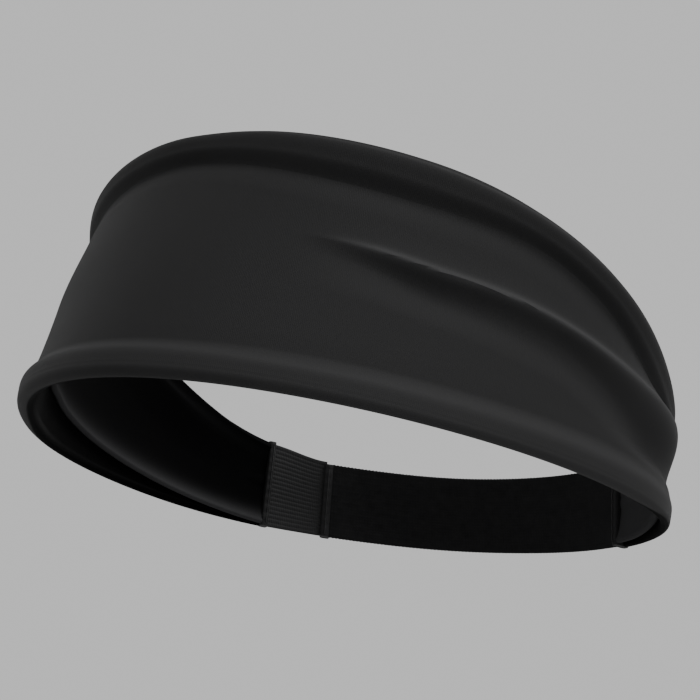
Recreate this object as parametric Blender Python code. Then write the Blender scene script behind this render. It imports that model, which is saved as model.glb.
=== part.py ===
"""Sports headband, opened out as it sits on a head.

A tall front of two knit layers, an outer shell with rolled hems and an inner lining,
narrows towards the back of the head.  There its left end is bound and sewn to a ribbed
tab, the tab to a wide elastic strap, and the strap to the shell's right end.

Metres, +Z up.  The forehead is towards -Y and the elastic strap towards +Y.  The lower
rim lies on z = 0.  Angles run round the head from 0 at the middle of the forehead,
positive towards +X, to 180 degrees at the back.
"""

import math

import bmesh
import bpy
from mathutils import Vector

# Plan of the lower rim
HALF_WIDTH = 0.077
HALF_DEPTH = 0.0845
EGG_SHIFT = 0.0072  # how far the widest point lies towards the back, halved
BROW_WIDTH = -0.00065  # below zero, the brow and the back are narrower than an ellipse's
CENTRE_SHIFT = 0.0005  # puts the middle of the overall length on the origin

# Height of the band, and its lean towards the crown of the head
FRONT_HEIGHT = 0.0695
BACK_HEIGHT = 0.0204
TAPER_END = math.radians(150)
FRONT_LEAN = 0.35
SIDE_LEAN = -0.10
BACK_LEAN = 0.45

# Where the pieces meet, in degrees round the head
SHELL_LEFT = -125.0
TAB_RIGHT = -140.5
SHELL_RIGHT = 140.0
BINDING_WIDTH = 0.0014  # left end binding
WIDE_BINDING_WIDTH = 0.0020  # tab and right end bindings
SEAM_GAP = 0.0003
LAYER_GAP = 0.0006  # between the shell's panel and the lining

# Layers
KNIT = 0.0008  # thickness of one knit layer
ROLL_RADIUS = 0.0026  # of the puffed hem roll at the front
ROLL_END_SCALE = 0.55  # how far the roll is pressed flat at the sewn ends
ROLL_FADE_START = math.radians(75)
PANEL_INSET = 0.0013  # the flat panel behind the crest of the rolls
GROOVE_DEPTH = 0.0005  # the crease beside each roll, behind the panel
HEM_TURN = 0.0065  # how far the hem runs back up inside
LINING_EDGE = 0.0046  # from the rim to the lining's free edge
ELASTIC_THICKNESS = 0.0016
TAB_THICKNESS = 0.0020
BINDING_PROUD = 0.0003
TAB_PROUD = 0.0008  # the tab stands above the strap's upper edge

RIB_COUNT = 19
RIB_DEPTH = 0.0002

# Sewing
THREAD_RADIUS = 0.0002
STITCH_LENGTH = 0.0026
STITCH_WAVE = 0.00016
THREAD_ROUNDNESS = 1  # bevel resolution, 6 sides round

PANEL_ROWS = (0.3, 0.5, 0.7)  # shares of the band's height
SHELL_STEPS = 54
LINING_STEPS = 54
STRAP_STEPS = 18
TAB_STEPS = 4
ROLL_ARC_STEPS = 6


def clear_scene():
    for old in list(bpy.data.objects):
        bpy.data.objects.remove(old, do_unlink=True)


def fabric(name, colour, roughness):
    material = bpy.data.materials.new(name)
    material.use_nodes = True
    shader = material.node_tree.nodes["Principled BSDF"]
    shader.inputs["Base Color"].default_value = (*colour, 1.0)
    shader.inputs["Roughness"].default_value = roughness
    shader.inputs["Metallic"].default_value = 0.0
    material.diffuse_color = (*colour, 1.0)
    return material


# The band's own coordinates: an angle round the head, a height up the band from the rim,
# and a depth, 0 on the outermost skin of the hem roll and negative towards the head.


def rim_point(angle):
    x = HALF_WIDTH * math.sin(angle) + BROW_WIDTH * math.sin(3 * angle)
    y = CENTRE_SHIFT - HALF_DEPTH * math.cos(angle) + EGG_SHIFT * (1 - math.cos(2 * angle))
    return Vector((x, y, 0.0))


def rim_direction(angle):
    """Change of the rim point per radian."""
    along_x = HALF_WIDTH * math.cos(angle) + 3 * BROW_WIDTH * math.cos(3 * angle)
    along_y = HALF_DEPTH * math.sin(angle) + 2 * EGG_SHIFT * math.sin(2 * angle)
    return Vector((along_x, along_y, 0.0))


def outward(angle):
    along = rim_direction(angle)
    return Vector((along.y, -along.x, 0.0)).normalized()


def run_length(angle):
    """Length of rim per radian at this angle."""
    return rim_direction(angle).length


def lean(angle):
    second = (FRONT_LEAN + BACK_LEAN - 2 * SIDE_LEAN) / 4
    first = (FRONT_LEAN - BACK_LEAN) / 2
    return SIDE_LEAN + second + first * math.cos(angle) + second * math.cos(2 * angle)


def band_height(angle):
    taper = min(abs(angle) / TAPER_END, 1.0)
    return BACK_HEIGHT + (FRONT_HEIGHT - BACK_HEIGHT) * (1 + math.cos(math.pi * taper)) / 2


def puff(angle):
    """1 where the hem rolls are full, down to ROLL_END_SCALE where they are sewn flat."""
    end = math.radians(abs(SHELL_LEFT))
    share = (abs(angle) - ROLL_FADE_START) / (end - ROLL_FADE_START)
    share = min(max(share, 0.0), 1.0)
    smooth = share * share * (3 - 2 * share)
    return 1 + (ROLL_END_SCALE - 1) * smooth


def band_point(angle, height, depth):
    """The rim's lowest line stays on the rim curve however the band leans."""
    tilt = lean(angle)
    side = outward(angle)
    up = Vector((0.0, 0.0, math.cos(tilt))) - side * math.sin(tilt)
    out = side * math.cos(tilt) + Vector((0.0, 0.0, math.sin(tilt)))
    radius = ROLL_RADIUS * puff(angle)
    centre = rim_point(angle) + Vector((0.0, 0.0, radius)) - side * radius
    return centre + up * (height - radius) + out * (depth + radius)


def resting_height(angle, depth):
    """The height at which a point of this depth is level with the rim curve."""
    tilt = lean(angle)
    radius = ROLL_RADIUS * puff(angle)
    return radius - (radius + (depth + radius) * math.sin(tilt)) / math.cos(tilt)


def angles_between(start, end, steps):
    return [start + (end - start) * i / steps for i in range(steps + 1)]


def after(angle, distance):
    """The angle that lies this distance further round the rim, with the sign kept."""
    return angle + distance / run_length(angle)


# Section tools, in (height, depth)


def thickened(path, thickness):
    """A closed loop round an open path, half the thickness to each side of it."""
    left = []
    right = []
    for i, (height, depth) in enumerate(path):
        before = path[max(i - 1, 0)]
        behind = path[min(i + 1, len(path) - 1)]
        run_h = behind[0] - before[0]
        run_d = behind[1] - before[1]
        length = math.hypot(run_h, run_d)
        off_h = -run_d / length * thickness / 2
        off_d = run_h / length * thickness / 2
        left.append((height + off_h, depth + off_d))
        right.append((height - off_h, depth - off_d))
    return left + right[::-1]


def level_bar(angle, top, inner, outer, corner):
    """An upright bar with its corners cut and its lower edge level with the rim curve."""
    low_inner = resting_height(angle, inner + corner)
    low_outer = resting_height(angle, outer - corner)
    return [
        (low_inner + corner, inner),
        (top - corner, inner),
        (top, inner + corner),
        (top, outer - corner),
        (top - corner, outer),
        (low_outer + corner, outer),
        (low_outer, outer - corner),
        (low_inner, inner + corner),
    ]


def sweep(name, stations, loop_at, material):
    """A closed solid whose section at each angle is a loop of (height, depth) points."""
    mesh = bpy.data.meshes.new(name)
    model = bmesh.new()
    rings = []
    for angle in stations:
        rings.append([model.verts.new(band_point(angle, h, d)) for h, d in loop_at(angle)])
    for ring, following in zip(rings, rings[1:]):
        count = len(ring)
        for i in range(count):
            j = (i + 1) % count
            model.faces.new((ring[i], ring[j], following[j], following[i]))
    model.faces.new(rings[0][::-1])
    model.faces.new(rings[-1])
    bmesh.ops.recalc_face_normals(model, faces=model.faces)
    model.to_mesh(mesh)
    model.free()
    mesh.shade_smooth()
    mesh.set_sharp_from_angle(angle=math.radians(40))
    mesh.materials.append(material)
    piece = bpy.data.objects.new(name, mesh)
    bpy.context.collection.objects.link(piece)
    return piece


def thread(name, points, material):
    """A sewing thread: one round strand through the points, with closed ends."""
    curve = bpy.data.curves.new(name, "CURVE")
    curve.dimensions = "3D"
    curve.bevel_depth = THREAD_RADIUS
    curve.bevel_resolution = THREAD_ROUNDNESS
    curve.use_fill_caps = True
    spline = curve.splines.new("POLY")
    spline.points.add(len(points) - 1)
    for knot, point in zip(spline.points, points):
        knot.co = (*point, 1.0)
    curve.materials.append(material)
    strand = bpy.data.objects.new(name, curve)
    bpy.context.collection.objects.link(strand)
    return strand


# The double-layer front


def panel_depth(angle):
    return -PANEL_INSET * puff(angle) - KNIT / 2


def groove_depth(angle):
    """The crease fades out where the rolls are pressed flat."""
    return GROOVE_DEPTH * (puff(angle) - ROLL_END_SCALE) / (1 - ROLL_END_SCALE)


def hem_turn(angle):
    return HEM_TURN * (1 + puff(angle)) / 2


def hem_half(angle):
    """Middle line of the lower hem: up the turned-in side, round the roll, to the panel."""
    radius = ROLL_RADIUS * puff(angle)
    middle = radius - KNIT / 2
    path = [(hem_turn(angle), -radius - middle)]
    for i in range(ROLL_ARC_STEPS + 1):
        turn = math.pi * i / ROLL_ARC_STEPS
        path.append((radius - middle * math.sin(turn), -radius - middle * math.cos(turn)))
    shoulder = math.radians(50)
    path.append((radius + middle * math.sin(shoulder), -radius + middle * math.cos(shoulder)))
    flat = panel_depth(angle)
    path.append((2.4 * radius, flat - groove_depth(angle)))
    path.append((3.6 * radius, flat))
    return path


def shell_loop(angle):
    lower = hem_half(angle)
    height = band_height(angle)
    upper = [(height - h, d) for h, d in reversed(lower)]
    middle = [(height * share, panel_depth(angle)) for share in PANEL_ROWS]
    return thickened(lower + middle + upper, KNIT)


def make_outer_shell(material):
    stations = angles_between(math.radians(SHELL_LEFT), math.radians(SHELL_RIGHT), SHELL_STEPS)
    return sweep("outer_shell", stations, shell_loop, material)


def lining_edge_depth(angle):
    return -2 * ROLL_RADIUS * puff(angle) - SEAM_GAP - KNIT / 2


def lining_flat_depth(angle):
    return panel_depth(angle) - KNIT - LAYER_GAP


def lining_loop(angle):
    height = band_height(angle)
    edge = LINING_EDGE * (1 + puff(angle)) / 2
    over_hem = hem_turn(angle) + 5 * THREAD_RADIUS
    near = lining_edge_depth(angle)
    flat = lining_flat_depth(angle)
    lower = [(edge, near), (over_hem, near)]
    middle = [(height * share, flat) for share in PANEL_ROWS]
    upper = [(height - h, d) for h, d in reversed(lower)]
    return thickened(lower + middle + upper, KNIT)


def make_inner_lining(material):
    stations = angles_between(math.radians(SHELL_LEFT), math.radians(SHELL_RIGHT), LINING_STEPS)
    return sweep("inner_lining", stations, lining_loop, material)


def lining_seam_points(from_top):
    """Along the raw edge of the turned-in hem, in the pocket behind the lining."""
    points = []
    margin = math.radians(1.0)
    first = math.radians(SHELL_LEFT) + margin
    last = math.radians(SHELL_RIGHT) - margin
    for angle in angles_between(first, last, LINING_STEPS):
        height = hem_turn(angle) + SEAM_GAP + 2 * THREAD_RADIUS
        outer_face = panel_depth(angle) - KNIT / 2
        inner_face = lining_edge_depth(angle) + KNIT / 2
        depth = (outer_face + inner_face) / 2
        if from_top:
            height = band_height(angle) - height
        points.append(band_point(angle, height, depth))
    return points


# The sewn ends, the tab and the strap


def joint_inner(angle):
    """Depth of the head side of the sewn ends."""
    return lining_edge_depth(angle) - KNIT / 2


def make_binding(name, start, width, material):
    """A narrow folded strip over a sewn end, from rim to rim."""
    direction = math.copysign(1.0, start)
    first = after(start, direction * SEAM_GAP)
    last = after(first, direction * width)
    corner = width / 4

    def loop(angle):
        inner = joint_inner(angle) - BINDING_PROUD
        outer = -PANEL_INSET * puff(angle) + BINDING_PROUD
        return level_bar(angle, band_height(angle), inner, outer, corner)

    sweep(name, angles_between(first, last, 2), loop, material)
    return last


def strap_middle(angle):
    """Depth of the middle of the strap, half way through the sewn ends."""
    return (joint_inner(angle) - PANEL_INSET * puff(angle)) / 2


def ribbed_side(angle, crest, valley):
    """One face of the tab, from the level lower edge up to the top."""
    low = resting_height(angle, valley)
    pitch = (BACK_HEIGHT + TAB_PROUD - low) / RIB_COUNT
    side = []
    for i in range(RIB_COUNT):
        side += [(low + i * pitch, valley), (low + (i + 0.5) * pitch, crest)]
    side.append((low + RIB_COUNT * pitch, valley))
    return side


def tab_loop(angle):
    """The ribs run round the head and are spaced evenly up the tab."""
    inner = strap_middle(angle) - TAB_THICKNESS / 2
    outer = strap_middle(angle) + TAB_THICKNESS / 2
    inner_side = ribbed_side(angle, inner, inner + RIB_DEPTH)
    outer_side = ribbed_side(angle, outer, outer - RIB_DEPTH)
    return inner_side + outer_side[::-1]


def strap_loop(angle):
    inner = strap_middle(angle) - ELASTIC_THICKNESS / 2
    outer = strap_middle(angle) + ELASTIC_THICKNESS / 2
    return level_bar(angle, BACK_HEIGHT, inner, outer, ELASTIC_THICKNESS / 4)


def make_ribbed_tab(start, material):
    end = math.radians(TAB_RIGHT)
    sweep("ribbed_tab", angles_between(start, end, TAB_STEPS), tab_loop, material)
    return end


def make_rear_elastic(start, end, material):
    """From the tab's binding back round the head to the right binding."""
    first = start
    last = end - 2 * math.pi
    stations = angles_between(first, last, STRAP_STEPS)
    return sweep("rear_elastic", stations, strap_loop, material)


def join_seam_points(angle, top, surface):
    """Stitches that climb a sewn end on its head side, just clear of the cloth."""
    margin = STITCH_LENGTH / 2
    stitches = round((top - 2 * margin) / STITCH_LENGTH)
    quarter = (top - 2 * margin) / (4 * stitches)
    clear = surface - SEAM_GAP - THREAD_RADIUS - STITCH_WAVE
    points = []
    for i in range(4 * stitches + 1):
        depth = clear + STITCH_WAVE * math.cos(math.pi * i / 2)
        points.append(band_point(angle, margin + i * quarter, depth))
    return points


def build():
    clear_scene()
    shell_knit = fabric("shell_knit", (0.022, 0.022, 0.023), 0.62)
    lining_knit = fabric("lining_knit", (0.006, 0.006, 0.007), 0.9)
    rib_weave = fabric("rib_weave", (0.018, 0.018, 0.019), 0.6)
    elastic_knit = fabric("elastic_knit", (0.008, 0.008, 0.009), 0.85)
    binding_knit = fabric("binding_knit", (0.016, 0.016, 0.017), 0.65)
    sewing_thread = fabric("sewing_thread", (0.010, 0.010, 0.011), 0.5)

    make_outer_shell(shell_knit)
    make_inner_lining(lining_knit)
    thread("lower_lining_thread", lining_seam_points(False), sewing_thread)
    thread("upper_lining_thread", lining_seam_points(True), sewing_thread)

    left = make_binding("left_end_binding", math.radians(SHELL_LEFT), BINDING_WIDTH, binding_knit)
    tab_start = after(left, -SEAM_GAP)
    tab_end = make_ribbed_tab(tab_start, rib_weave)
    tab_edge = make_binding("tab_end_binding", tab_end, WIDE_BINDING_WIDTH, binding_knit)
    right = make_binding(
        "right_end_binding", math.radians(SHELL_RIGHT), WIDE_BINDING_WIDTH, binding_knit
    )
    make_rear_elastic(after(tab_edge, -SEAM_GAP), after(right, SEAM_GAP), elastic_knit)

    seam_inset = 2 * THREAD_RADIUS + SEAM_GAP
    tab_height = BACK_HEIGHT + TAB_PROUD
    left_seam = after(tab_start, -seam_inset)
    left_surface = strap_middle(left_seam) - TAB_THICKNESS / 2
    thread("left_join_thread", join_seam_points(left_seam, tab_height, left_surface), sewing_thread)
    tab_seam = after(tab_end, seam_inset)
    tab_surface = strap_middle(tab_seam) - TAB_THICKNESS / 2
    thread("tab_join_thread", join_seam_points(tab_seam, tab_height, tab_surface), sewing_thread)
    right_seam = after(math.radians(SHELL_RIGHT), -seam_inset)
    right_surface = joint_inner(right_seam)
    right_height = band_height(right_seam)
    thread(
        "right_join_thread", join_seam_points(right_seam, right_height, right_surface), sewing_thread
    )


build()
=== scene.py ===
"""Looks of the sports headband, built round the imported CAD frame.

Every cloth piece is a thin closed sheet made in the band's own coordinates: an angle round
the head (0 at the middle of the forehead, positive towards +X), a height up the band from
the lower rim, and a depth, 0 on the outermost skin of the hem and negative towards the
head.  Left is towards -X and right towards +X, as seen from the front, so they are the
wearer's right and left.  Metres throughout.
"""

import math

import bpy
import numpy as np
from mathutils import Matrix, Vector


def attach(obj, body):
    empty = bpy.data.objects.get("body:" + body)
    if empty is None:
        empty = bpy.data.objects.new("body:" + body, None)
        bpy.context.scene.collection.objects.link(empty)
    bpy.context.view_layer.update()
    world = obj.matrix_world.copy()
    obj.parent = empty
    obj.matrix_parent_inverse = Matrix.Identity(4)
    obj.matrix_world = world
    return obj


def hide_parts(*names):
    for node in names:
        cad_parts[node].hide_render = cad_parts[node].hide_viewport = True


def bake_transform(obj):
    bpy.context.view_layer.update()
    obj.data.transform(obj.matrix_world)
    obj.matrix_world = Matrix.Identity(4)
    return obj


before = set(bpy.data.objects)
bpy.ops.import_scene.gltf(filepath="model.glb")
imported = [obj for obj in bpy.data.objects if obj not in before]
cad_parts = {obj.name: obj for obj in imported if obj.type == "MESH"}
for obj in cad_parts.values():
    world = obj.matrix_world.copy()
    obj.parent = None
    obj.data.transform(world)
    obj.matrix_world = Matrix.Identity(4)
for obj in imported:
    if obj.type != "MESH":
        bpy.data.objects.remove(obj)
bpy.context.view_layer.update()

# Plan, height and lean of the band, as in the CAD source but for the two values marked
HALF_WIDTH = 0.077
HALF_DEPTH = 0.0845
EGG_SHIFT = 0.0072
BROW_WIDTH = -0.00065
CENTRE_SHIFT = 0.0005
FRONT_HEIGHT = 0.0695
BACK_HEIGHT = 0.0209  # 0.5 mm taller than the CAD strap
TAPER_END = math.radians(150)  # from here to the back the band keeps the strap's height
FRONT_LEAN = 0.35
SIDE_LEAN = -0.10
BACK_LEAN = 0.45
SHELL_LEFT = -125.0  # sewn ends, in degrees round the head
TAB_RIGHT = -139.4  # the tab ends 1.4 mm sooner than the CAD tab
SHELL_RIGHT = 140.0
SEAM_GAP = 0.0003
TUCK = 0.0003  # how far the tab and the strap reach in under their bindings
ROLL_RADIUS = 0.0026
ROLL_END_SCALE = 0.55  # how much of the rolled hem is left at the sewn ends
ROLL_FADE_START = math.radians(75)
PANEL_INSET = 0.0013  # how far the panel lies in from the hem's outermost skin

# Cloth
KNIT = 0.0008
LINING_KNIT = 0.0005
HEM_HALF = 0.0011  # half of the folded hem's thickness
ROLL_TUCK = 0.0009  # how far the cloth is drawn in under the upper roll
LINING_FOLD = 0.0007  # radius of the lining's folded edges
ELASTIC_THICKNESS = 0.0015
PICOT_DEPTH = 0.00022
PICOT_SPACING = 0.0011
TAB_THICKNESS = 0.0019
RIB_COUNT = 19
RIB_DEPTH = 0.00011
BINDING_LAP = 0.0005  # how far a binding reaches back over the end it covers
LEFT_BINDING_WIDTH = 0.0014
BINDING_WIDTH = 0.0020
THREAD_RADIUS = 0.00017
STITCH_LENGTH = 0.0026
STITCH_PROUD = 0.00052  # from the sewn end's own surface to the seam on its binding

# Camera, fitted to the outline: in front of the band, on its +X side, and looking up at it
CAMERA_AIM = Vector((0.0065, -0.0055, 0.0304))
CAMERA_DISTANCE = 0.5
CAMERA_AZIMUTH = 35.96
CAMERA_ELEVATION = -15.43
CAMERA_ROLL = 9.14
CAMERA_LENS = 104.7

# Studio
FLOOR_HEIGHT = -0.55
FLOOR_SIZE = 40
FLOOR_GREY = 0.47
WORLD_GREY = 0.50
WORLD_STRENGTH = 1.3
LIGHT_AIM = (0, 0, 0.03)


# Small curves for numpy arrays


def smooth(value, start, end):
    """0 before start, 1 after end, with a soft change between them."""
    share = np.clip((value - start) / (end - start), 0.0, 1.0)
    return share * share * (3 - 2 * share)


def bell(value, middle, width):
    return np.exp(-(((value - middle) / width) ** 2))


def degrees(angle):
    """From -180 to 180, also for the strap, whose angles run on past the back."""
    return (np.degrees(angle) + 180) % 360 - 180


# The band's own coordinates


def rim_point(angle):
    x = HALF_WIDTH * np.sin(angle) + BROW_WIDTH * np.sin(3 * angle)
    y = CENTRE_SHIFT - HALF_DEPTH * np.cos(angle) + EGG_SHIFT * (1 - np.cos(2 * angle))
    # flatter on the left and fuller on the right than the CAD rim
    left = -0.0016 * bell(degrees(angle), -92, 25)
    right = 0.0013 * bell(degrees(angle), 110, 18)
    return np.stack([x, y, 0 * angle], -1) + outward(angle) * (left + right)[..., None]


def rim_direction(angle):
    along_x = HALF_WIDTH * np.cos(angle) + 3 * BROW_WIDTH * np.cos(3 * angle)
    along_y = HALF_DEPTH * np.sin(angle) + 2 * EGG_SHIFT * np.sin(2 * angle)
    return np.stack([along_x, along_y, 0 * angle], -1)


def run_length(angle):
    """Length of rim per radian."""
    return np.linalg.norm(rim_direction(angle), axis=-1)


def outward(angle):
    along = rim_direction(angle)
    side = np.stack([along[..., 1], -along[..., 0], 0 * angle], -1)
    return side / np.linalg.norm(side, axis=-1)[..., None]


def lean(angle):
    """How far the band leans in towards the head, in radians."""
    second = (FRONT_LEAN + BACK_LEAN - 2 * SIDE_LEAN) / 4
    first = (FRONT_LEAN - BACK_LEAN) / 2
    return SIDE_LEAN + second + first * np.cos(angle) + second * np.cos(2 * angle)


def band_height(angle):
    """From the rim to the upper edge, with the soft cloth's own rises and dips added."""
    turned = np.abs((angle + math.pi) % (2 * math.pi) - math.pi)
    taper = np.minimum(turned / TAPER_END, 1.0)
    even = BACK_HEIGHT + (FRONT_HEIGHT - BACK_HEIGHT) * (1 + np.cos(math.pi * taper)) / 2
    side = degrees(angle)
    lower = 0.0008 * bell(side, -12, 38) + 0.0003 * bell(side, 30, 30)
    raised = 0.0024 * bell(side, 62, 24) + 0.0056 * bell(side, -68, 22)
    return even + raised - lower


def puff(angle):
    """How plump the hems are: 1 in front, ROLL_END_SCALE at the sewn ends."""
    turned = np.abs((angle + math.pi) % (2 * math.pi) - math.pi)
    flat = smooth(turned, ROLL_FADE_START, math.radians(abs(SHELL_LEFT)))
    return 1 + (ROLL_END_SCALE - 1) * flat


def upper_curl(angle, height):
    """Over both temples the upper edge curls in towards the head."""
    share = smooth(height / band_height(angle), 0.45, 0.9)
    turned = degrees(angle)
    left = 0.0042 * smooth(-turned, 8, 66) * (1 - smooth(-turned, 95, 125))
    roll_out = 0.0028 * smooth(height / band_height(angle), 0.80, 0.90) * bell(turned, -84, 22)
    right = 0.0036 * bell(turned, 100, 20)
    return (left + right) * share - roll_out


def seam_lean(angle, height):
    """The sewn ends of the front panel do not stand quite square to the rim."""
    share = height / BACK_HEIGHT
    left = math.radians(1.7) * (share - 0.55) * bell(degrees(angle), -133, 16)
    right = -math.radians(2.8) * share * bell(degrees(angle), 140, 16)
    return left + right


def band_point(angle, height, depth):
    """Angles are a column, one for each station, or have the shape of height and depth."""
    height, depth = np.broadcast_arrays(height, depth)
    angle = np.broadcast_to(angle, height.shape)
    depth = depth - upper_curl(angle, height)
    angle = angle + seam_lean(angle, height)
    tilt = lean(angle)[..., None]
    side = outward(angle)
    top = np.array([0.0, 0.0, 1.0])
    up = top * np.cos(tilt) - side * np.sin(tilt)
    out = side * np.cos(tilt) + top * np.sin(tilt)
    radius = (ROLL_RADIUS * puff(angle))[..., None]
    centre = rim_point(angle) + top * radius - side * radius
    return centre + up * (height[..., None] - radius) + out * (depth[..., None] + radius)


def resting_height(angle, depth):
    """The height at which a point of this depth is level with the rim."""
    tilt = lean(angle)
    radius = ROLL_RADIUS * puff(angle)
    return radius - (radius + (depth + radius) * np.sin(tilt)) / np.cos(tilt)


def run_along(angle):
    """Length of rim from the first of these angles to each of them, below 0 if they fall."""
    return np.concatenate([[0], np.cumsum(run_length(angle[:-1]) * np.diff(angle))])


def column(start, end, step):
    """Angles from start to end in radians, as a column, about step apart along the rim."""
    fine = np.linspace(start, end, 400)
    reach = np.abs(run_along(fine))
    count = max(int(math.ceil(reach[-1] / step)), 2)
    return np.interp(np.linspace(0, reach[-1], count + 1), reach, fine)[:, None]


def after(angle, distance):
    """The angle this far along the rim."""
    return angle + distance / float(run_length(np.array(angle)))


# Mesh making


def mesh_piece(name, vertices, faces, cloth, material, sharp=50):
    """cloth holds each point's place on the flat cloth in metres, and its painted tone, where the
    colour stands in for light and shade.
    """
    mesh = bpy.data.meshes.new(name)
    mesh.from_pydata(vertices.reshape(-1, 3).tolist(), [], faces)
    place = mesh.attributes.new("cloth", "FLOAT_VECTOR", "POINT")
    flat = np.zeros((cloth.size // cloth.shape[-1], 3), dtype=np.float32)
    flat[:, : cloth.shape[-1]] = cloth.reshape(-1, cloth.shape[-1])
    place.data.foreach_set("vector", flat.ravel())
    mesh.validate()
    mesh.shade_smooth()
    mesh.set_sharp_from_angle(angle=math.radians(sharp))
    mesh.materials.append(material)
    piece = bpy.data.objects.new(name, mesh)
    bpy.context.scene.collection.objects.link(piece)
    return piece


def loop_faces(stations, points):
    """Quads of a tube of closed section loops, with a strip of quads over each end."""
    ring = np.arange(stations)[:, None] * points + np.arange(points)
    following = np.roll(ring, -1, axis=1)
    quads = np.stack([ring[:-1], following[:-1], following[1:], ring[1:]], -1)
    faces = quads.reshape(-1, 4).tolist()
    half = points // 2
    for row, flip in ((0, True), (stations - 1, False)):
        for i in range(half - 1):
            a, b = ring[row, i], ring[row, i + 1]
            c, d = ring[row, points - 2 - i], ring[row, points - 1 - i]
            corner = [int(a), int(b), int(c), int(d)]
            faces.append(corner[::-1] if flip else corner)
    return faces


def path_length(height, depth):
    """Length up each section from its first point to each point."""
    step = np.hypot(np.diff(height, axis=1), np.diff(depth, axis=1))
    return np.concatenate([np.zeros((len(height), 1)), np.cumsum(step, axis=1)], 1)


def thick_sheet(name, angle, height, depth, thickness, material, painted_tone=0.0):
    """A closed sheet round a middle surface: one section path of (height, depth) a station."""
    angle, height, depth, painted_tone = np.broadcast_arrays(angle, height, depth, painted_tone)
    run_h = np.gradient(height, axis=1)
    run_d = np.gradient(depth, axis=1)
    length = np.hypot(run_h, run_d)
    off_h = -run_d / length * thickness / 2
    off_d = run_h / length * thickness / 2
    tall = np.concatenate([height + off_h, (height - off_h)[:, ::-1]], 1)
    deep = np.concatenate([depth + off_d, (depth - off_d)[:, ::-1]], 1)
    wide = np.concatenate([angle, angle[:, ::-1]], 1)
    along = run_along(angle[:, 0])
    up = path_length(height, depth)
    up = np.concatenate([up, up[:, ::-1]], 1)
    painted_tone = np.concatenate([painted_tone, painted_tone[:, ::-1]], 1)
    cloth = np.stack([np.broadcast_to(along[:, None], up.shape), up, painted_tone], -1)
    points = band_point(wide, tall, deep)
    faces = loop_faces(tall.shape[0], tall.shape[1])
    return mesh_piece(name, points, faces, cloth, material)


def tube(name, path, radius, material, sides=8):
    """A round strand through an open path of points, with closed ends."""
    path = np.asarray(path)
    ahead = np.gradient(path, axis=0)
    ahead /= np.linalg.norm(ahead, axis=1)[:, None]
    guide = np.zeros_like(ahead)
    guide[:, int(np.argmin(np.abs(ahead).max(0)))] = 1.0
    first = np.cross(ahead, guide)
    first /= np.linalg.norm(first, axis=1)[:, None]
    second = np.cross(ahead, first)
    turn = np.linspace(0, 2 * math.pi, sides, endpoint=False)
    ring = first[:, None] * np.cos(turn)[:, None] + second[:, None] * np.sin(turn)[:, None]
    points = path[:, None] + ring * radius
    faces = loop_faces(len(path), sides)
    run = np.concatenate([[0], np.cumsum(np.linalg.norm(np.diff(path, axis=0), axis=1))])
    around = np.broadcast_to(turn * radius, (len(path), sides))
    cloth = np.stack([np.broadcast_to(run[:, None], around.shape), around], -1)
    return mesh_piece(name, points, faces, cloth, material, 80)


# The outer shell: folded hem, upper roll, pleat and soft folds


def upper_scale(angle):
    """How far the upper roll stands out: it flattens on the left and at the sewn ends."""
    return puff(angle) * (0.55 + 0.45 * smooth(degrees(angle), -60, -10))


def roll_height(angle):
    """From the upper edge down to the crease under the roll."""
    turned = degrees(angle)
    tall = 0.0074 + 0.0030 * smooth(turned, -8, 38) - 0.0034 * smooth(turned, 42, 68)
    return (tall + 0.0018 * smooth(turned, 74, 96)) * (0.35 + 0.65 * puff(angle))


def hem_half(angle):
    """Half of the folded hem's thickness: plump over the brow, thin on the left."""
    turned = degrees(angle)
    plump = smooth(turned, -66, -38) * (1 - smooth(turned, 92, 118))
    return HEM_HALF + 0.0010 * plump


def hem_height(angle):
    """How far up from the rim the folded hem's shoulder reaches."""
    return 0.0094 * (0.35 + 0.65 * puff(angle))


def lining_edge(angle):
    """Height of the lining's folded lower edge: it leaves the hem's inner side bare."""
    share = (math.radians(abs(SHELL_LEFT)) - np.abs(angle)) / math.radians(68)
    share = np.clip(share, 0.0, 1.0)
    left = 0.0008 + 0.0048 * share + 0.0055 * share**2
    right = 0.0012 + 0.0035 * smooth(-degrees(angle), -136, -100)
    side = smooth(-degrees(angle), 20, 50)
    return right + (left - right) * side


def joined(angle, *parts):
    """Set the parts of a section end to end, each given for every angle."""
    return np.concatenate([part + 0 * angle for part in parts], 1)


def turned_edge(angle, top):
    """The end of the folded hem inside, which climbs towards its raw edge."""
    half = HEM_HALF + 0 * angle if top else hem_half(angle)
    bend = half - KNIT / 2
    reach = 0.005 if top else lining_edge(angle) + 0.0028
    share = np.linspace(0, 1, 14)[None, :-1]
    height = reach + (half - reach) * share
    lip = 0.00022 * bell(share, 0.96, 0.05)
    inside = -2 * half + KNIT / 2 - lip
    turn = np.linspace(0, math.pi, 18)[None, :]
    under = half - bend * np.sin(turn)
    round_it = -half - bend * np.cos(turn)
    return joined(angle, height, under), joined(angle, inside, round_it)


def lower_half(angle):
    """Middle line of the lower hem: raw edge inside, fold, padded face and soft shoulder."""
    height, depth = turned_edge(angle, False)
    share = np.linspace(0, 1, 26)[None, 1:]
    tall = hem_height(angle)
    rise = hem_half(angle) + (tall - hem_half(angle)) * share
    full = (puff(angle) - ROLL_END_SCALE) / (1 - ROLL_END_SCALE)
    swell = full * 0.0005 * bell(share, 0.35, 0.26)
    fall = PANEL_INSET * puff(angle) * smooth(share, 0.40, 1.0)
    face = -KNIT / 2 + swell - fall
    return joined(angle, height, rise), joined(angle, depth, face)


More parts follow.
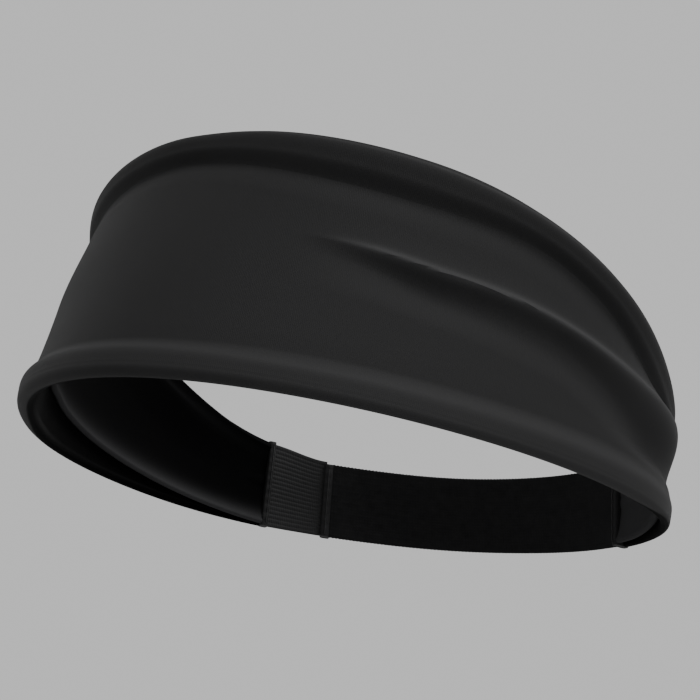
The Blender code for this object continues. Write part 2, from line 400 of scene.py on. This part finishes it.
def upper_half(angle):
    """The same from the top edge down: the roll curves in to a crease over the panel."""
    height, depth = turned_edge(angle, True)
    share = np.sin(np.linspace(0, 1, 30) * math.pi / 2)[None, 1:]
    tall = roll_height(angle)
    drop = HEM_HALF + (tall - HEM_HALF) * share
    scale = upper_scale(angle)
    round_in = smooth(share, 0.56, 1.04) / smooth(1.0, 0.56, 1.04)
    crest = 0.0009 * scale * bell(share, 0.16, 0.34)
    crease = PANEL_INSET * puff(angle) + ROLL_TUCK * scale
    face = -KNIT / 2 + crest - crease * round_in
    back = np.linspace(0, 1, 13)[None, 1:]
    recover = tall + 0.0070 * back
    panel = -KNIT / 2 - crease + ROLL_TUCK * scale * np.sin(back * math.pi / 2) ** 1.3
    return joined(angle, height, drop, recover), joined(angle, depth, face, panel)


def ridge_height(angle):
    """The pleat runs nearly straight, from the brow down to the right sewn end."""
    turned = degrees(angle)
    sag = 0.0009 * bell(turned, 50, 10) + 0.0026 * smooth(turned, 54, 92)
    return 0.0377 - 0.00019 * (turned - 35.5) - sag


def valley_height(angle):
    """The hollow under the pleat, which swings down to the hem over the right temple."""
    turned = degrees(angle)
    beside = ridge_height(angle) - 0.0043
    steep = 0.0285 - 0.00057 * (turned - 65)
    return np.minimum(beside, steep) - 0.0006 * bell(turned, 64, 7)


def pleat(angle, height):
    """A lip that hangs over a hollow: tight at the brow, opening to a broad fold."""
    turned = degrees(angle)
    ridge, valley = ridge_height(angle), valley_height(angle)
    lip = 0.0017 * (1 - 0.35 * smooth(turned, 90, 120))
    hollow = 0.0016 * (1 - 0.3 * smooth(turned, 80, 110))
    climb = np.maximum(height - ridge, 0)
    above = lip * (0.4 * np.exp(-climb / 0.0008) + 0.6 * np.exp(-climb / 0.0034))
    down = np.clip((ridge - height) / (ridge - valley), 0, 1)
    tight = (1 - down) ** 1.8
    broad = 0.5 + 0.5 * np.cos(math.pi * down)
    opening = smooth(turned, 64, 86)
    between = -hollow + (lip + hollow) * (tight * (1 - opening) + broad * opening)
    below = -hollow * (1 - smooth(valley - height, 0.0, 0.0085))
    shape = np.where(height > ridge, above, np.where(height > valley, between, below))
    return shape * smooth(turned, 27, 50) * (1 - smooth(turned, 118, 138))


def left_folds(angle, height):
    """Two shallow creases towards the sewn left end."""
    turned = degrees(angle)
    share = height / band_height(angle)
    first = 0.0009 * bell(share, 0.62 + 0.002 * (turned + 100), 0.09)
    second = 0.0007 * bell(share, 0.36 - 0.001 * (turned + 100), 0.08)
    fade = smooth(-turned, 70, 105) * (1 - smooth(-turned, 116, 125))
    return (first + second) * fade


def gathers(angle, height):
    """The stretched cloth is drawn together where it is sewn to the narrow strap."""
    share = height / band_height(angle)
    wave = np.sin(2 * math.pi * (share * 3.1 + 0.15))
    right = smooth(degrees(angle), 112, 139)
    left = smooth(-degrees(angle), 104, 124)
    return 0.00045 * wave * (right + left) * np.sin(math.pi * np.clip(share, 0, 1))


def drape(angle, height):
    """Very soft unevenness of the stretched panel."""
    share = height / band_height(angle)
    slow = np.sin(2.3 * angle + 3.0 * share) * np.sin(math.pi * share)
    return 0.0002 * slow


def right_fold(angle, height):
    """The pleat ends in a soft fold over a pinched-in place above the hem."""
    turned = degrees(angle)
    over = 0.0014 * bell(turned, 104, 15) * bell(height, 0.0235, 0.0055)
    pinch = 0.0019 * bell(turned, 107, 15) * bell(height, 0.0125, 0.0048)
    return over - pinch


def panel_relief(angle, height):
    """Folds between the hem and the crease under the roll, fading out at both."""
    parts = (pleat, left_folds, right_fold, gathers, drape)
    total = sum(part(angle, height) for part in parts)
    over_hem = smooth(height - hem_height(angle), -0.001, 0.004)
    under_roll = smooth(band_height(angle) - roll_height(angle) - height, -0.0005, 0.0022)
    return total * over_hem * under_roll


def shell_section(angle, rows):
    """Whole section path of the shell, from the raw edge below to the raw edge above."""
    base = resting_height(angle, -hem_half(angle))
    low_h, low_d = lower_half(angle)
    top_h, top_d = upper_half(angle)
    low_h = low_h + base * (1 - smooth(low_h, 0, 0.006))
    band = band_height(angle)
    start, end = low_h[:, -1:], band - top_h[:, -1:]
    share = np.linspace(0, 1, rows)[None, 1:-1]
    panel_h = start + (end - start) * share
    panel_d = low_d[:, -1:] + (top_d[:, -1:] - low_d[:, -1:]) * share
    height = joined(angle, low_h, panel_h, band - top_h[:, ::-1])
    depth = joined(angle, low_d, panel_d, top_d[:, ::-1])
    relief = panel_relief(angle, height)
    turned_in = turned_edge(angle, True)[0].shape[1]
    relief[:, :turned_in] = 0
    relief[:, -turned_in:] = 0
    return height, depth + relief, painted_light_and_shade(angle, height, depth, turned_in)


def painted_light_and_shade(angle, height, depth, turned_in):
    """The shell's painted tone: 1 is painted shade, 0 the plain knit and below 0 painted light.

    The folded hem is painted lighter as painted light.  The pleat's crest and the upper rim are
    painted lighter still, as painted highlights; the painted shade lies inside the hems.
    """
    turned = degrees(angle)
    inward = -depth / (2 * hem_half(angle))
    late = 0.40 * smooth(turned, -70, -45) * (1 - smooth(turned, 88, 108))
    # painted shade: the inside of the turned hem, and of the turned-in upper edge, is painted near
    # black
    dark = smooth(inward - late, 0.14, 0.30)
    # painted highlight: a thin line along the inner fold is left lighter within the painted shade
    painted_fold_highlight = 0.75 * bell(inward, 0.92, 0.035) * smooth(-turned, 30, 60)
    dark[:, -turned_in:] = smooth(-depth / HEM_HALF, 0.9, 1.4)[:, -turned_in:]
    dark[:, turned_in:-turned_in] = 0
    painted_fold_highlight[:, turned_in:] = 0
    # painted light: the folded hem is painted lighter, more so on the left
    painted_light = 1 - smooth(height - 0.75 * hem_height(angle), -0.0015, 0.0025)
    painted_light = painted_light * (1 + 0.65 * smooth(-turned, 0, 50))
    # painted highlights along the pleat's crest and just under the upper rim
    crest = 2.6 * bell(height - ridge_height(angle), 0.0003, 0.0011)
    crest = crest * smooth(turned, 31, 42) * (1 - smooth(turned, 96, 112))
    rim_light = 1.6 * bell(band_height(angle) - height, 0.0013, 0.0006) * smooth(turned, 0, 30)
    rim_light[:, -turned_in:] = 0
    return dark - painted_fold_highlight - (painted_light + crest + rim_light) * (1 - dark)


def make_shell(material):
    """The outer panel with its two folded hems, as one thin closed sheet."""
    step = 0.0019
    angle = column(math.radians(SHELL_LEFT), math.radians(SHELL_RIGHT), step)
    height, depth, painted_tone = shell_section(angle, 116)
    return thick_sheet("shell", angle, height, depth, KNIT, material, painted_tone)


# The lining


def lining_top(angle):
    """On the right its upper fold stands just proud of the shell's roll."""
    turned = degrees(angle)
    proud = smooth(turned, 2, 30) * (1 - smooth(turned, 88, 112))
    return band_height(angle) - 0.0012 + 0.0033 * proud


def make_lining(material):
    """The dull inner panel: folded lower edge, sunk middle and folded upper edge."""
    step = 0.0012
    angle = column(math.radians(SHELL_LEFT), math.radians(SHELL_RIGHT), step)
    radius = LINING_FOLD
    behind = -2 * hem_half(angle) - 0.0004
    low = lining_edge(angle)
    top = lining_top(angle)
    turn = np.linspace(0, math.pi, 16)[None, :]
    hem = np.linspace(1, 0, 6)[None, :-1]
    back = (low + radius + 0.0022 * hem, behind + 0 * hem)
    arc = (low + radius * (1 - np.sin(turn)), behind - radius * (1 - np.cos(turn)))
    share = np.linspace(0, 1, 80)[None, 1:]
    start, end = low + radius, top - 0.0006
    height = start + (end - start) * share
    rest = np.minimum(-PANEL_INSET * puff(angle) - KNIT - 0.0010, behind)
    near = behind - 2 * radius
    away = np.minimum(height - start, 1.4 * (end - height))
    sunk = 1 - np.exp(-np.maximum(away, 0) / 0.0032)
    depth = near + (rest - near) * sunk
    depth = depth + np.minimum(panel_relief(angle, height), 0.0) * sunk
    under = bell(band_height(angle) - roll_height(angle) - height, 0, 0.0038)
    depth = depth - ROLL_TUCK * upper_scale(angle) * under
    ripple = np.sin(4 * angle + 60 * height) * smooth(away, 0.002, 0.01)
    depth = depth - 0.00025 * ripple
    upper = turn[:, 1:]
    over = (end + 0.0006 * np.sin(upper), near + radius * (1 - np.cos(upper)))
    down = np.linspace(0, 1, 6)[None, 1:]
    last = (end - 0.0022 * down, behind + 0 * down)
    tall = joined(angle, back[0], arc[0], height, over[0], last[0])
    deep = joined(angle, back[1], arc[1], depth, over[1], last[1])
    # painted highlight along the folded lower edge, and painted light over the right end, where
    # light reaches the inside
    fold = np.exp(-np.maximum(tall - low - radius, 0) / 0.0022)
    fold = fold * smooth(-deep, -behind, -near - 0.0004)
    right_end = smooth(degrees(angle), 96, 104)
    painted_tone = np.maximum(fold * smooth(-degrees(angle), 30, 60), right_end)
    return thick_sheet("lining", angle, tall, deep, LINING_KNIT, material, painted_tone)


# The sewn ends, the tab and the strap


def joint_inner(angle):
    """Depth of the sewn ends' inner face."""
    return -2 * ROLL_RADIUS * puff(angle) - SEAM_GAP - KNIT


def strap_middle(angle):
    """Depth at which the tab and the strap lie in the middle of their bindings."""
    return (joint_inner(angle) - PANEL_INSET * puff(angle)) / 2


def upright(low, top, points):
    """A row of heights for each station, evenly spaced from low to top."""
    return low + (top - low) * np.linspace(0, 1, points)[None, :]


def make_strap(first, last, material):
    """Wide woven elastic with small picots along both edges."""
    step = 0.0003
    angle = column(first, last, step)
    middle = strap_middle(angle)
    along = run_along(angle[:, 0])
    picot = PICOT_DEPTH * np.abs(np.sin(math.pi * along / PICOT_SPACING))[:, None]
    low = resting_height(angle, middle) + 0.0003 - picot
    high = BACK_HEIGHT + picot - 0.0001
    height = upright(low, high, 56)
    share = (height - low) / (high - low)
    wave = 0.00002 * np.sin(2 * math.pi * height / 0.0016)
    slack = 0.0003 * np.sin(9 * angle) * np.sin(math.pi * share)
    depth = middle + wave + slack
    return thick_sheet("rear_elastic_knit", angle, height, depth, ELASTIC_THICKNESS, material)


def make_tab(first, last, material):
    """Short ribbed tab: round ribs that run round the head."""
    angle = column(first, last, 0.0005)
    middle = strap_middle(angle)
    low = resting_height(angle, middle - TAB_THICKNESS / 2)
    run_out = smooth(-degrees(angle), abs(SHELL_LEFT), abs(TAB_RIGHT))
    top = BACK_HEIGHT + 0.0027 - 0.0021 * run_out
    height = upright(low, top, RIB_COUNT * 8 + 1)
    rib = np.abs(np.sin(math.pi * RIB_COUNT * (height - low) / (top - low)))
    inner = middle - TAB_THICKNESS / 2 + RIB_DEPTH * (1 - rib)
    outer = middle + TAB_THICKNESS / 2 - RIB_DEPTH * (1 - rib)
    tall = np.concatenate([height, height[:, ::-1]], 1)
    deep = np.concatenate([outer, inner[:, ::-1]], 1)
    wide = np.broadcast_to(run_along(angle[:, 0])[:, None], tall.shape)
    points = band_point(angle, tall, deep)
    faces = loop_faces(tall.shape[0], tall.shape[1])
    return mesh_piece("ribbed_tab_weave", points, faces, np.stack([wide, tall], -1), material)


def make_binding(name, start, width, top, material):
    """A strip folded over a sewn end: a flat loop round it from the rim to the top."""
    side = math.copysign(1.0, start)
    first = after(start, -side * BINDING_LAP)
    last = after(start, side * (SEAM_GAP + width))
    span = np.linspace(0, 1, 25)
    turn = span * 2 * math.pi
    middle_angle = (first + last) / 2
    # rounded rectangle round the end, as (across the seam, through the cloth)
    across = np.sign(np.cos(turn)) * np.abs(np.cos(turn)) ** 0.45
    through = np.sign(np.sin(turn)) * np.abs(np.sin(turn)) ** 0.55
    angle = middle_angle + across * (last - first) / 2
    angle = angle[None, :-1]
    through = through[None, :-1]
    inner = joint_inner(angle) - 0.0005
    outer = -PANEL_INSET * puff(angle) + 0.0004
    depth = (inner + outer) / 2 + through * (outer - inner) / 2
    rows = 60
    share = np.linspace(0, 1, rows)[:, None]
    low = resting_height(angle, depth)
    soft = 1 - 0.10 * (bell(share, 0, 0.02) + bell(share, 1, 0.02))
    depth = (inner + outer) / 2 + (depth - (inner + outer) / 2) * soft
    height = low + (top - low) * share
    wave = 0.00008 * np.sin(2 * math.pi * height / 0.0026 + 2 * through)
    angles = np.broadcast_to(angle, height.shape)
    points = band_point(angles, height, depth + wave)
    cloth = np.stack([np.broadcast_to(span[None, :-1] * 0.01, height.shape), height], -1)
    faces = loop_faces(rows, height.shape[1])
    return mesh_piece(name, points, faces, cloth, material, 60), last


def seam_stitches(name, angle, top, inside, material):
    """A line of lockstitches that climbs a sewn end on one side of the cloth."""
    margin = STITCH_LENGTH / 2
    count = round((top - 2 * margin) / STITCH_LENGTH)
    share = np.linspace(0, count, count * 12 + 1)
    height = margin + share * (top - 2 * margin) / count
    lift = 0.00016 * np.sin(math.pi * share) ** 2
    place = np.array(angle)
    if inside:
        depth = joint_inner(place) - STITCH_PROUD - lift
    else:
        depth = -PANEL_INSET * puff(place) + STITCH_PROUD + lift
    path = band_point(np.full(len(height), angle), height, depth)
    return tube(name, path, THREAD_RADIUS, material)


def hem_stitches(name, top, material):
    """The seam that holds the turned-in hem to the lining, in the pocket behind it."""
    angle = column(math.radians(SHELL_LEFT + 1), math.radians(SHELL_RIGHT - 1), 0.0009)[:, 0]
    height = band_height(angle) - 0.0062 if top else lining_edge(angle) + 0.004
    depth = -PANEL_INSET * puff(angle) - KNIT - 0.0006
    path = band_point(angle, height, depth)
    return tube(name, path, THREAD_RADIUS, material, sides=6)


# Materials


class Nodes:
    """A Principled material with helpers that keep its node network short to write."""

    def __init__(self, name, roughness, specular, sheen, sheen_roughness=0.4):
        self.material = bpy.data.materials.new(name)
        self.material.use_nodes = True
        self.tree = self.material.node_tree
        self.shader = self.tree.nodes["Principled BSDF"]
        self.shader.inputs["Roughness"].default_value = roughness
        self.shader.inputs["Sheen Weight"].default_value = sheen
        self.shader.inputs["Sheen Roughness"].default_value = sheen_roughness
        self.shader.inputs["Specular IOR Level"].default_value = specular
        place = self.tree.nodes.new("ShaderNodeAttribute")
        place.attribute_name = "cloth"
        self.cloth = place.outputs["Vector"]
        split = self.tree.nodes.new("ShaderNodeSeparateXYZ")
        self.tree.links.new(self.cloth, split.inputs[0])
        self.along = split.outputs["X"]
        self.up = split.outputs["Y"]
        self.painted_tone = split.outputs["Z"]
        space = self.tree.nodes.new("ShaderNodeTexCoord")
        self.space = space.outputs["Object"]

    def math(self, operation, first, second=None, third=None):
        node = self.tree.nodes.new("ShaderNodeMath")
        node.operation = operation
        for socket, value in zip(node.inputs, (first, second, third)):
            if value is None:
                continue
            if isinstance(value, (int, float)):
                socket.default_value = value
            else:
                self.tree.links.new(value, socket)
        return node.outputs[0]

    def wave(self, value, spacing, shift=0.0):
        """0 to 1 and back over each spacing."""
        turned = self.math("MULTIPLY_ADD", value, 2 * math.pi / spacing, shift)
        return self.math("MULTIPLY_ADD", self.math("SINE", turned), 0.5, 0.5)

    def noise(self, scale, detail=3.0, roughness=0.55, place=None):
        node = self.tree.nodes.new("ShaderNodeTexNoise")
        node.inputs["Scale"].default_value = scale
        node.inputs["Detail"].default_value = detail
        node.inputs["Roughness"].default_value = roughness
        self.tree.links.new(place or self.space, node.inputs["Vector"])
        return node.outputs["Fac"]

    def spread(self, value, low, high):
        node = self.tree.nodes.new("ShaderNodeMapRange")
        node.inputs["To Min"].default_value = low
        node.inputs["To Max"].default_value = high
        self.tree.links.new(value, node.inputs["Value"])
        return node.outputs["Result"]

    def colour(self, value, dark, light, painted_light_and_shade=None):
        node = self.tree.nodes.new("ShaderNodeMix")
        node.data_type = "RGBA"
        node.clamp_factor = False
        node.inputs[6].default_value = (*dark, 1.0)
        node.inputs[7].default_value = (*light, 1.0)
        self.tree.links.new(value, node.inputs[0])
        if painted_light_and_shade:
            painted_mix = self.tree.nodes.new("ShaderNodeMix")
            painted_mix.data_type = "RGBA"
            painted_mix.inputs[7].default_value = (*painted_light_and_shade, 1.0)
            self.tree.links.new(self.painted_tone, painted_mix.inputs[0])
            self.tree.links.new(node.outputs[2], painted_mix.inputs[6])
            node = painted_mix
        self.tree.links.new(node.outputs[2], self.shader.inputs["Base Color"])

    def rough(self, value, low, high):
        self.tree.links.new(self.spread(value, low, high), self.shader.inputs["Roughness"])

    def dull(self, face, painted_light_and_shade):
        """Specular level of the plain cloth and of its painted shade."""
        node = self.tree.nodes.new("ShaderNodeMapRange")
        node.inputs["To Min"].default_value = face
        node.inputs["To Max"].default_value = painted_light_and_shade
        self.tree.links.new(self.painted_tone, node.inputs["Value"])
        self.tree.links.new(node.outputs["Result"], self.shader.inputs["Specular IOR Level"])

    def bump(self, value, distance, strength=1.0):
        node = self.tree.nodes.new("ShaderNodeBump")
        node.inputs["Distance"].default_value = distance
        node.inputs["Strength"].default_value = strength
        self.tree.links.new(value, node.inputs["Height"])
        self.tree.links.new(node.outputs[0], self.shader.inputs["Normal"])


def jersey(nodes, wale, course):
    """Height of a plain knit: columns of slanted stitches."""
    columns = nodes.wave(nodes.along, wale)
    leaning = nodes.math("MULTIPLY", columns, course * 0.9)
    rows = nodes.wave(nodes.math("ADD", nodes.up, leaning), course)
    return nodes.math("MULTIPLY", nodes.math("POWER", columns, 0.6), rows)


def shell_material():
    nodes = Nodes("shell_knit", 0.6, 0.14, 0.02, 0.35)
    knit = jersey(nodes, 0.00042, 0.00034)
    mottle = nodes.noise(260, 4.0, 0.6)
    broad = nodes.noise(24, 2.0)
    mixed = nodes.math("MULTIPLY_ADD", broad, 0.5, nodes.math("MULTIPLY", mottle, 0.5))
    tone = nodes.math("MULTIPLY_ADD", knit, 0.25, nodes.math("MULTIPLY", mixed, 0.75))
    # painted light on the hem, the pleat's crest and the upper rim lifts the tone
    painted_light = nodes.math("MAXIMUM", nodes.math("MULTIPLY", nodes.painted_tone, -1.0), 0.0)
    tone = nodes.math("MULTIPLY_ADD", painted_light, 0.95, tone)
    # the last colour is painted shade inside the hems
    nodes.colour(tone, (0.0060, 0.0060, 0.0062), (0.0116, 0.0116, 0.0119), (0.0010, 0.0010, 0.0011))
    nodes.rough(mixed, 0.62, 0.76)
    nodes.dull(0.14, 0.01)
    relief = nodes.math("MULTIPLY_ADD", mottle, 0.4, knit)
    nodes.bump(relief, 0.00006, 0.6)
    return nodes.material


def lining_material():
    nodes = Nodes("lining_knit", 0.9, 0.03, 0.004, 0.6)
    knit = jersey(nodes, 0.00052, 0.00042)
    fuzz = nodes.noise(900, 4.0, 0.7)
    tone = nodes.math("MULTIPLY_ADD", knit, 0.5, nodes.math("MULTIPLY", fuzz, 0.5))
    # the last colour is painted light, for the lining's folded lower edge and its right end
    nodes.colour(tone, (0.0010, 0.0010, 0.0011), (0.0022, 0.0022, 0.0024), (0.030, 0.030, 0.031))
    nodes.rough(fuzz, 0.82, 0.96)
    nodes.bump(tone, 0.0001, 0.6)
    return nodes.material


def rib_material():
    nodes = Nodes("rib_weave", 0.6, 0.25, 0.03)
    cords = nodes.wave(nodes.along, 0.00055)
    fuzz = nodes.noise(1200, 3.0, 0.6)
    tone = nodes.math("MULTIPLY_ADD", cords, 0.6, nodes.math("MULTIPLY", fuzz, 0.4))
    nodes.colour(tone, (0.0055, 0.0055, 0.0058), (0.0125, 0.0125, 0.013))
    nodes.rough(fuzz, 0.5, 0.7)
    nodes.bump(tone, 0.00008, 0.7)
    return nodes.material


def elastic_material():
    nodes = Nodes("elastic_knit", 0.85, 0.12, 0.015, 0.5)
    warp = nodes.wave(nodes.up, 0.0008)
    weft = nodes.wave(nodes.math("MULTIPLY_ADD", warp, 0.00035, nodes.along), 0.0009)
    fuzz = nodes.noise(700, 4.0, 0.75)
    weave = nodes.math("MULTIPLY", warp, weft)
    cloud = nodes.spread(nodes.noise(420, 4.0, 0.75), -0.7, 1.7)
    mottle = nodes.math("MULTIPLY_ADD", cloud, 0.5, nodes.math("MULTIPLY", fuzz, 0.5))
    tone = nodes.math("MULTIPLY_ADD", weave, 0.2, nodes.math("MULTIPLY", mottle, 0.8))
    nodes.colour(tone, (0.0015, 0.0015, 0.0017), (0.0135, 0.0135, 0.0140))
    nodes.rough(fuzz, 0.78, 0.93)
    nodes.bump(tone, 0.00016, 0.8)
    return nodes.material


def binding_material():
    nodes = Nodes("binding_knit", 0.65, 0.2, 0.02)
    knit = jersey(nodes, 0.00045, 0.00036)
    fuzz = nodes.noise(800, 3.0, 0.6)
    tone = nodes.math("MULTIPLY_ADD", knit, 0.4, nodes.math("MULTIPLY", fuzz, 0.6))
    nodes.colour(tone, (0.0055, 0.0055, 0.0058), (0.0125, 0.0125, 0.013))
    nodes.rough(fuzz, 0.55, 0.75)
    nodes.bump(tone, 0.00008, 0.6)
    return nodes.material


def thread_material():
    nodes = Nodes("sewing_thread", 0.5, 0.3, 0.02)
    plies = nodes.wave(nodes.math("MULTIPLY_ADD", nodes.up, 0.6, nodes.along), 0.0005)
    nodes.colour(plies, (0.006, 0.006, 0.0065), (0.018, 0.018, 0.019))
    nodes.rough(nodes.noise(2000), 0.4, 0.6)
    nodes.bump(plies, 0.00004, 0.7)
    return nodes.material


# Studio


def plain(name, colour, roughness):
    material = bpy.data.materials.new(name)
    material.use_nodes = True
    shader = material.node_tree.nodes["Principled BSDF"]
    shader.inputs["Base Color"].default_value = (*colour, 1.0)
    shader.inputs["Roughness"].default_value = roughness
    shader.inputs["Specular IOR Level"].default_value = 0.2
    return material


def make_floor():
    """A wide pale floor well below the band, which hangs free above it."""
    bpy.ops.mesh.primitive_plane_add(size=FLOOR_SIZE, location=(0, 0, FLOOR_HEIGHT))
    floor = bpy.context.object
    floor.name = "studio_floor"
    floor.data.materials.append(plain("studio_grey", (FLOOR_GREY,) * 3, 0.9))


def make_world():
    world = bpy.data.worlds.new("studio_air")
    world.use_nodes = True
    background = world.node_tree.nodes["Background"]
    background.inputs["Color"].default_value = (WORLD_GREY, WORLD_GREY, WORLD_GREY, 1.0)
    background.inputs["Strength"].default_value = WORLD_STRENGTH
    bpy.context.scene.world = world


def make_light(name, place, size, power):
    """A soft round lamp aimed at the middle of the band."""
    lamp = bpy.data.lights.new(name, "AREA")
    lamp.shape = "DISK"
    lamp.size = size
    lamp.energy = power
    holder = bpy.data.objects.new(name, lamp)
    bpy.context.scene.collection.objects.link(holder)
    holder.location = place
    holder.rotation_euler = (Vector(LIGHT_AIM) - Vector(place)).to_track_quat("-Z", "Y").to_euler()


def make_camera():
    azimuth = math.radians(CAMERA_AZIMUTH)
    elevation = math.radians(CAMERA_ELEVATION)
    level = math.cos(elevation)
    back = Vector((math.sin(azimuth) * level, -math.cos(azimuth) * level, math.sin(elevation)))
    right = Vector((math.cos(azimuth), math.sin(azimuth), 0.0))
    up = back.cross(right)
    roll = math.radians(CAMERA_ROLL)
    image_right = right * math.cos(roll) + up * math.sin(roll)
    image_up = up * math.cos(roll) - right * math.sin(roll)
    lens = bpy.data.cameras.new("photo_camera")
    lens.lens = CAMERA_LENS
    lens.sensor_width = 36
    lens.clip_start = 0.01
    lens.clip_end = 100
    holder = bpy.data.objects.new("photo_camera", lens)
    bpy.context.scene.collection.objects.link(holder)
    turn = Matrix((image_right, image_up, back)).transposed().to_4x4()
    holder.matrix_world = Matrix.Translation(CAMERA_AIM + back * CAMERA_DISTANCE) @ turn
    bpy.context.scene.camera = holder


# Putting it together


def make_joined_pieces():
    """The bindings, the tab and the strap, from the shell's left end round to its right."""
    rib_weave = rib_material()
    elastic_knit = elastic_material()
    binding_knit = binding_material()
    left_start = math.radians(SHELL_LEFT)
    tab_end = math.radians(TAB_RIGHT)
    right_start = math.radians(SHELL_RIGHT)
    left_top = float(band_height(np.array(left_start)))
    left, left_end = make_binding(
        "left_binding", left_start, LEFT_BINDING_WIDTH, left_top, binding_knit
    )
    tab = make_tab(after(left_end, TUCK), after(tab_end, -TUCK), rib_weave)
    middle, middle_end = make_binding(
        "tab_binding", tab_end, BINDING_WIDTH, BACK_HEIGHT, binding_knit
    )
    right, right_end = make_binding(
        "right_binding", right_start, BINDING_WIDTH, BACK_HEIGHT, binding_knit
    )
    strap_start = after(middle_end, TUCK)
    strap_end = after(right_end, -TUCK) - 2 * math.pi
    strap = make_strap(strap_start, strap_end, elastic_knit)
    joins = (
        ("left", (left_start + left_end) / 2, left_top, "left_join_thread"),
        ("tab", (tab_end + middle_end) / 2, BACK_HEIGHT, "tab_join_thread"),
        ("right", (right_start + right_end) / 2, BACK_HEIGHT, "right_join_thread"),
    )
    return left, tab, middle, right, strap, joins


def make_seams(joins):
    """The lower and upper hem seams, then an inner and an outer seam at each join."""
    sewing_thread = thread_material()
    low_seam = hem_stitches("lower_hem_seam", False, sewing_thread)
    top_seam = hem_stitches("upper_hem_seam", True, sewing_thread)
    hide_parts("lower_lining_thread")
    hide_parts("upper_lining_thread")
    seams = [low_seam, top_seam]
    for name, angle, top, node in joins:
        inner = seam_stitches(name + "_join_inner_seam", angle, top, True, sewing_thread)
        outer = seam_stitches(name + "_join_outer_seam", angle, top, False, sewing_thread)
        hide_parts(node)
        seams += [inner, outer]
    for seam in seams:
        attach(seam, "band")
    return seams


def build():
    """Make every piece, hide the CAD nodes it stands in for and hang all but the strap on the band.
    """
    shell = make_shell(shell_material())
    lining = make_lining(lining_material())
    left, tab, middle, right, strap, joins = make_joined_pieces()

    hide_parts("outer_shell")
    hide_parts("inner_lining")
    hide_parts("left_end_binding")
    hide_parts("ribbed_tab")
    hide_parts("tab_end_binding")
    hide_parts("right_end_binding")
    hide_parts("rear_elastic")
    seams = make_seams(joins)

    for piece, slot in (
        (shell, "shell_knit"),
        (lining, "lining_knit"),
        (tab, "rib_weave"),
        (left, "binding_knit"),
        (middle, "binding_knit"),
        (right, "binding_knit"),
    ):
        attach(piece, "band")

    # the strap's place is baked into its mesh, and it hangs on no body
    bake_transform(strap)


build()
make_floor()
make_world()
make_light("key", (0.7, -0.32, 1.35), 0.7, 23)
make_light("right", (1.5, 0.0, 0.04), 0.3, 11)
make_light("left", (-1.2, -0.9, 0.3), 0.9, 3.5)
make_camera()
